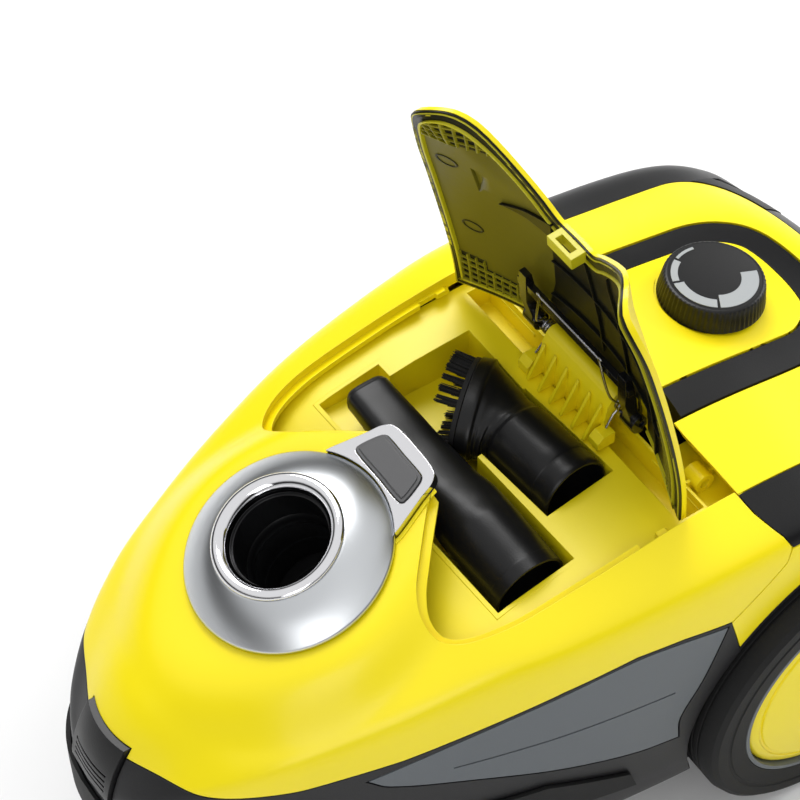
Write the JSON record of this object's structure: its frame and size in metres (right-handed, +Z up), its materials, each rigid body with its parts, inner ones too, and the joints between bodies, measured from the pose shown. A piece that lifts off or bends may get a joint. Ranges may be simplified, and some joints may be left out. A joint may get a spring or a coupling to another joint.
{
  "type": "canister vacuum cleaner",
  "caption": "Canister vacuum cleaner with hinged hood, steel hose socket, lidded tool tray, power knob, carrying handle, rear wheels and front caster.",
  "frame": {"origin": "on the floor under the middle of the machine", "axes": "+Z up, -Y towards the nose, +X to the machine's right-hand side seen from behind"},
  "size_m": [0.252, 0.402, 0.3294],
  "materials": {
    "yellow_shell": "glossy yellow moulding",
    "black_plastic": "black, fine texture",
    "dark_plastic": "dark grey base moulding",
    "grey_plastic": "mid grey moulding",
    "light_grey": "light grey print on plastic",
    "olive_plastic": "unpolished yellow moulding, inside of the lid",
    "steel": "brushed in circles",
    "chrome": "bright chrome plate",
    "wire_steel": "spring and pin steel",
    "rubber_black": "matt rubber",
    "tyre_rubber": "matt tread",
    "paper_bag": "fleece and paper",
    "filter_felt": "filter felt",
    "board_green": "circuit board",
    "rotor_metal": "fan and winding"
  },
  "bodies": {
    "chassis": {"rear_deck": "yellow_shell", "rear_housing": "yellow_shell", "hood_hinge_pin": "wire_steel", "shoulder_band": "black_plastic", "control_panel": "yellow_shell", "lower_housing": "dark_plastic", "side_panel_right": "grey_plastic", "side_panel_left": "grey_plastic", "base_bumper": "rubber_black", "chamber_seal": "rubber_black", "axle_right": "wire_steel", "axle_left": "wire_steel", "dust_bag": "paper_bag", "bag_holder": "dark_plastic", "motor_housing": "dark_plastic", "motor_mount_front": "rubber_black", "motor_filter": "filter_felt", "exhaust_grille": "black_plastic", "reel_spindle": "wire_steel", "circuit_board": "board_green", "cord_outlet": "black_plastic"},
    "hood": {"hood_shell": "yellow_shell", "accessory_tray": "yellow_shell", "flap_hinge_bracket": "yellow_shell", "flap_pin_right": "wire_steel", "flap_pin_left": "wire_steel", "flap_spring_right": "wire_steel", "flap_spring_left": "wire_steel", "inlet_trim_disc": "steel", "inlet_ring": "chrome", "inlet_tube": "black_plastic", "latch_frame": "chrome"},
    "lid": {"flap_skin": "yellow_shell", "flap_frame": "olive_plastic", "flap_knuckles": "black_plastic", "flap_spring_bail": "wire_steel"},
    "button": {"release_button": "grey_plastic"},
    "bag_flap": {"check_flap": "grey_plastic"},
    "power_knob": {"knob": "black_plastic", "knob_shaft": "wire_steel", "knob_scale": "light_grey"},
    "handle": {"carry_handle": "black_plastic"},
    "wheel_right": {"tyre_right": "tyre_rubber", "rim_right": "grey_plastic", "wheel_cap_right": "yellow_shell"},
    "wheel_left": {"tyre_left": "tyre_rubber", "rim_left": "grey_plastic", "wheel_cap_left": "yellow_shell"},
    "swivel": {"caster_fork": "dark_plastic"},
    "swivel_wheel": {"caster_wheel": "rubber_black"},
    "pedal_right": {"power_pedal": "dark_plastic"},
    "pedal_left": {"rewind_pedal": "dark_plastic"},
    "hood_catch": {"front_latch": "black_plastic"},
    "rotor": {"fan_rotor": "rotor_metal"},
    "reel": {"cord_drum": "grey_plastic"},
    "crevice": {"crevice_tool": "black_plastic"},
    "brush": {"brush_tool": "black_plastic", "brush_bristles": "rubber_black"}
  },
  "joints": [
    {"name": "hood_hinge", "type": "hinge", "parent": "chassis", "child": "hood", "pos_m": [0, 0.0625, 0.2164], "axis": [-1, 0, 0], "range_deg": [0, 60]},
    {"name": "lid_hinge", "type": "hinge", "parent": "hood", "child": "lid", "pos_m": [0, 0.049, 0.211], "axis": [1, 0, 0], "range_deg": [0, 84], "stiffness_Nm_per_rad": 0.06, "springref_deg": -68.75},
    {"name": "release_button_press", "type": "slide", "parent": "hood", "child": "button", "axis": [0, 0.3338, -0.9426], "range_m": [0, 0.0022], "stiffness_N_per_m": 500, "springref_m": -0.002},
    {"name": "bag_flap_hinge", "type": "hinge", "parent": "chassis", "child": "bag_flap", "pos_m": [0, -0.06638, 0.14802], "axis": [1, 0, 0], "range_deg": [0, 38], "stiffness_Nm_per_rad": 0.004, "springref_deg": -34.38},
    {"name": "power_knob_turn", "type": "hinge", "parent": "chassis", "child": "power_knob", "pos_m": [0, 0.115, 0.2135], "axis": [0, 0.0732, 0.9973], "range_deg": [0, 270]},
    {"name": "handle_pivot", "type": "hinge", "parent": "chassis", "child": "handle", "pos_m": [0, 0.0695, 0.2095], "axis": [1, 0, 0], "range_deg": [0, 80]},
    {"name": "rear_wheel_right", "type": "hinge", "parent": "chassis", "child": "wheel_right", "pos_m": [0.11, 0.116, 0.0825], "axis": [1, 0, 0], "continuous": true},
    {"name": "rear_wheel_left", "type": "hinge", "parent": "chassis", "child": "wheel_left", "pos_m": [-0.11, 0.116, 0.0825], "axis": [1, 0, 0], "continuous": true},
    {"name": "caster_swivel", "type": "hinge", "parent": "chassis", "child": "swivel", "pos_m": [0, -0.134, 0.041], "axis": [0, 0, 1], "continuous": true},
    {"name": "caster_roll", "type": "hinge", "parent": "swivel", "child": "swivel_wheel", "pos_m": [0, -0.12, 0.019], "axis": [1, 0, 0], "continuous": true},
    {"name": "power_pedal_press", "type": "slide", "parent": "chassis", "child": "pedal_right", "axis": [0, 0, -1], "range_m": [0, 0.0025], "stiffness_N_per_m": 900, "springref_m": -0.002},
    {"name": "rewind_pedal_press", "type": "slide", "parent": "chassis", "child": "pedal_left", "axis": [0, 0, -1], "range_m": [0, 0.0025], "stiffness_N_per_m": 900, "springref_m": -0.002},
    {"name": "hood_catch_pull", "type": "hinge", "parent": "hood", "child": "hood_catch", "pos_m": [0, -0.189, 0.139], "axis": [-1, 0, 0], "range_deg": [0, 12], "stiffness_Nm_per_rad": 0.3, "springref_deg": -8.59},
    {"name": "fan_spin", "type": "hinge", "parent": "chassis", "child": "rotor", "pos_m": [0, 0.091, 0.107], "axis": [0, 1, 0], "continuous": true},
    {"name": "cord_reel_spin", "type": "hinge", "parent": "chassis", "child": "reel", "pos_m": [-0.0705, 0.156, 0.129], "axis": [1, 0, 0], "continuous": true},
    {"name": "crevice_tool_lift", "type": "slide", "parent": "hood", "child": "crevice", "axis": [0, -0.2, -0.9798], "range_m": [-0.06, 0]},
    {"name": "brush_tool_lift", "type": "slide", "parent": "hood", "child": "brush", "axis": [0, 0, -1], "range_m": [-0.03, 0]}
  ]
}
